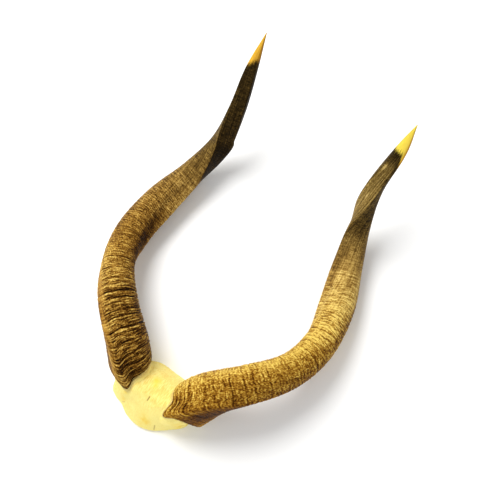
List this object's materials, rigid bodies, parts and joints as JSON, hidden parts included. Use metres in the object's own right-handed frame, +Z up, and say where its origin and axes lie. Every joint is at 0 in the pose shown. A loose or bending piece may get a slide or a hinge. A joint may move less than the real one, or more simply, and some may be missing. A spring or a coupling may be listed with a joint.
{
  "type": "nyala skull cap",
  "caption": "Sawn skull cap of a nyala antelope with its spiral horns, lying on the cut face; a trophy or natural history piece for a wall, shelf or table.",
  "frame": {"origin": "on the surface the piece lies on, under the middle of its overall box", "axes": "+X across the head, to the right when the forehead is seen from the front, +Y from the brow towards the horn tips, +Z up, out of the sawn face"},
  "size_m": [0.3806, 0.574, 0.1605],
  "materials": {
    "bone": "dry bleached bone, matte",
    "left_horn": "ringed brown horn with a dark upper part and an ivory tip, satin",
    "right_horn": "ringed golden brown horn with a dark upper part and an ivory tip, satin"
  },
  "bodies": {
    "root": {"skull_plate": "bone", "left_horn": "left_horn", "right_horn": "right_horn"}
  },
  "joints": []
}
